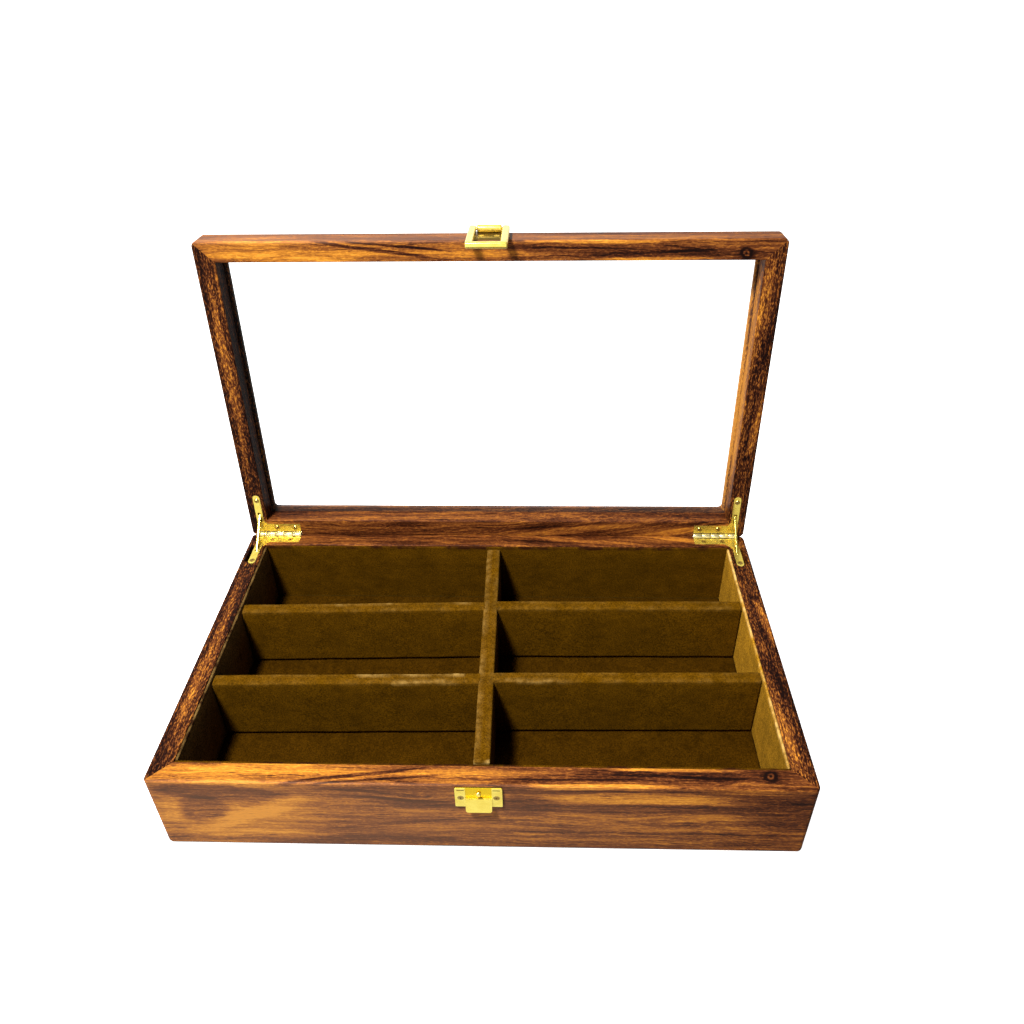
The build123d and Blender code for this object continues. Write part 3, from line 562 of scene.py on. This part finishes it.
def upright(name, node, material, round_mm, wave_mm, rub_and_painted_light, seed, inner=0):
    """A velvet-covered panel: divider or lining. inner is the side of a lining that shows, 0 for a divider."""
    start, end, half = node_axis(node)
    low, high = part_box(node)[0].z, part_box(node)[1].z
    along = (end - start).normalized()
    across = Vector((-along.y, along.x, 0))
    length = (end - start).length
    count = max(8, int(length / (1.8 * MM)))
    section = slab_section(half, low, high, round_mm, 2.2)
    rows = []
    wear_and_painted_light = []
    for i in range(-3, count + 4):
        tuck = max(0, -i, i - count) / 3
        at = min(max(i, 0), count) / count
        shrink = 1.0 * MM * (1 - math.sqrt(max(0.0, 1 - tuck * tuck)))
        centre = start + along * (1.0 * MM + (length - 2.0 * MM) * at)
        centre += along * (math.copysign(1.0 * MM * math.sin(tuck * math.pi / 2), i) if tuck else 0.0)
        row = []
        worn_and_painted_light = []
        for offset, up, near in section:
            squeezed = math.copysign(max(0.0, abs(offset) - shrink), offset)
            point = centre + across * squeezed + Vector((0, 0, up - (shrink if up > high - 2 * MM else 0.0)))
            swell = sample(point, 26, wave_mm, seed) + sample(point, 7, wave_mm * 0.35, seed + 5)
            point += across * (swell if offset * inner >= 0 else 0.0)
            if near > 0:
                point.z += near * sample(point, 11, wave_mm * 0.9, seed + 9)
            fray = 0.5 + noise.noise(point * 90.0 + Vector((seed, 3, 7))) + 0.5 * noise.noise(point * 330.0)
            row.append(point)
            run = point.y if abs(along.y) > abs(along.x) else point.x
            # Wear near the arrises and at the ends; on the linings, with their dark edge tone, this is painted
            # shade along the top edges and at the ends.
            worn_and_painted_light.append(max(0.0, near * rub_and_painted_light * fray) + 0.5 * rub_and_painted_light * tuck + near * scuff_and_highlight(node, run, offset))
        rows.append(row)
        wear_and_painted_light.append(worn_and_painted_light)
    piece = skin(name, rows, wear_and_painted_light, material, closed=True)
    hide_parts(node)
    return piece


def floor_cushion(name, node, material, dividers):
    """The padded floor: crowned in each compartment and drawn down where walls and dividers press on it."""
    low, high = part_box(node)
    step = 1.6 * MM
    columns = int((high.x - low.x) / step)
    lines = int((high.y - low.y) / step)
    axes = [node_axis(d) for d in dividers]
    rows = []
    for j in range(lines + 1):
        row = []
        for i in range(columns + 1):
            p = Vector((low.x + (high.x - low.x) * i / columns, low.y + (high.y - low.y) * j / lines, high.z))
            room = min(p.x - low.x, high.x - p.x, p.y - low.y, high.y - p.y)
            for start, end, half in axes:
                line = end - start
                t = min(max((p - start).dot(line) / line.length_squared, 0.0), 1.0)
                gap = Vector((p.x - start.x - line.x * t, p.y - start.y - line.y * t)).length - half
                room = min(room, gap)
            press = math.exp(-max(room, 0.0) / (0.7 * MM))
            crown = 0.7 * MM * (1 - math.exp(-max(room, 0.0) / (14 * MM)))
            p.z += crown - 0.6 * MM * press + sample(p, 24, 0.22) + sample(p, 6, 0.08, 4)
            row.append(p)
        rows.append(row)
    skirt = []
    for j, row in enumerate(rows):
        if j in (0, lines):
            skirt.append([Vector((p.x, p.y, low.z)) for p in row])
    rows = [skirt[0]] + rows + [skirt[1]]
    rows = [[Vector((*row[0].xy, low.z))] + row + [Vector((*row[-1].xy, low.z))] for row in rows]
    wear_and_painted_light = [[0.0] * len(row) for row in rows]
    piece = skin(name, rows, wear_and_painted_light, material)
    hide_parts(node)
    return piece


def varnish(names, film_mm):
    """The varnish builds the wood up by the film's thickness."""
    for name in names:
        film = nodes[name].modifiers.new("varnish", "DISPLACE")
        film.mid_level = 0.0
        film.strength = film_mm * MM


studio()
for side, along_y, marks, tone in (("front", False, FRONT_MARKS, 0.45), ("back", False, BACK_MARKS, 0.37),
                                   ("left", True, LEFT_MARKS, 0.08), ("right", True, RIGHT_MARKS, 0.15)):
    part = "stile" if along_y else "rail"
    curl = 0.46 if along_y else 0.17
    lean = 0.17 if side == "back" else 0.0
    pale = 0.16 if side == "front" else 0.0
    dress([f"{side}_board"], wood(f"{side}_wood", along_y, False, marks, tone, curl, lean, pale))
    dress([f"lid_{side}_{part}"], wood(f"lid_{side}_wood", along_y, True, marks, tone, curl, lean, pale))
BRASS_NODES = [n for n in nodes if ("hinge" in n or "stay" in n or n.startswith(("clasp", "catch")))
               and not n.endswith("_screws")]
SCREW_NODES = [n for n in nodes if n.endswith("_screws")]
LEAVES = [n for n in nodes if n.endswith("_leaf")]
dress(BRASS_NODES, brass("brass", (0.98, 0.79, 0.17), 0.24))
dress(LEAVES, brass("hinge_brass", (0.96, 0.76, 0.15), 0.22, barrel=True))
# Painted shade on the catch: its recessed strip is painted a deeper yellow, its slits and innermost recesses
# near black.
dress(["catch_plate"], brass("catch_brass", (0.98, 0.80, 0.16), 0.24,
                             [(1.0, (0.80, 0.53, 0.004)), (0.7, (0.06, 0.03, 0.004))]))
# Painted shade on the clasp plate: the part seen through the hasp ring, which the ring shadows, is painted dark
# bronze.
dress(["clasp_plate"], brass("clasp_brass", (0.90, 0.68, 0.14), 0.28,
                             [(1.4, (0.150, 0.100, 0.022))], in_lid=True))
dress(SCREW_NODES, brass("screw_brass", (0.42, 0.29, 0.07), 0.26))
dress(["clasp_screws"], brass("bright_brass", (0.98, 0.84, 0.30), 0.20))
soften(BRASS_NODES, 0.2)
varnish(["back_board", "lid_back_rail"], 0.09)
dress([n for n in nodes if n.endswith("_core")], plain_wood("core_wood", (0.6, 0.45, 0.28), (0.4, 0.28, 0.15)))
dress(["bottom_panel"], plain_wood("bottom_wood", (0.45, 0.28, 0.14), (0.28, 0.16, 0.08)))
dress(["glass_pane"], glass("clear_glass"))

divider_velvet = velvet("divider_velvet", (0.070, 0.0305, 0.0011))
DIVIDERS = [n for n in nodes if n.endswith("_cover")]
for seed, node in enumerate(sorted(DIVIDERS)):
    upright(node.replace("_cover", "_velvet"), node, divider_velvet, 1.1, 0.22, 0.06, 3.0 * seed)
# The floor cloth is the same velvet painted far darker: painted shade for the shadow between the walls and
# dividers.
floor_cloth = velvet("floor_velvet", (0.030, 0.0125, 0.0006), streaks=0.3)
floor_cushion("floor_velvet", "floor_pad", floor_cloth, DIVIDERS)
# The linings are lit and shaded copies of the same velvet: the right one, facing the key light, is painted
# several times lighter as painted light, and the left one, in shadow, is painted lighter than the back and
# front ones as painted fill light.
for side, tone, edge_tone, inner, streak in (
        ("back", (0.060, 0.026, 0.0010), (0.020, 0.006, 0.002), 1, (9, 5, 5)),
        ("front", (0.066, 0.028, 0.0010), (0.020, 0.006, 0.002), -1, (9, 5, 5)),
        ("left", (0.120, 0.070, 0.022), (0.020, 0.008, 0.003), 1, (5, 5, 9)),
        ("right", (0.300, 0.145, 0.010), (0.55, 0.34, 0.10), -1, (5, 4, 24))):
    # The edge tone is the colour of each lining's top edge: near black on the back, front and left linings as
    # painted shade, pale on the right one.
    cloth = velvet(f"{side}_velvet", tone, edge_tone, streak, front_shade=0.4 if side == "right" else 0.0)
    upright(f"{side}_lining_velvet", f"{side}_lining", cloth, 0.7, 0.16, 1.5, 20.0, inner)
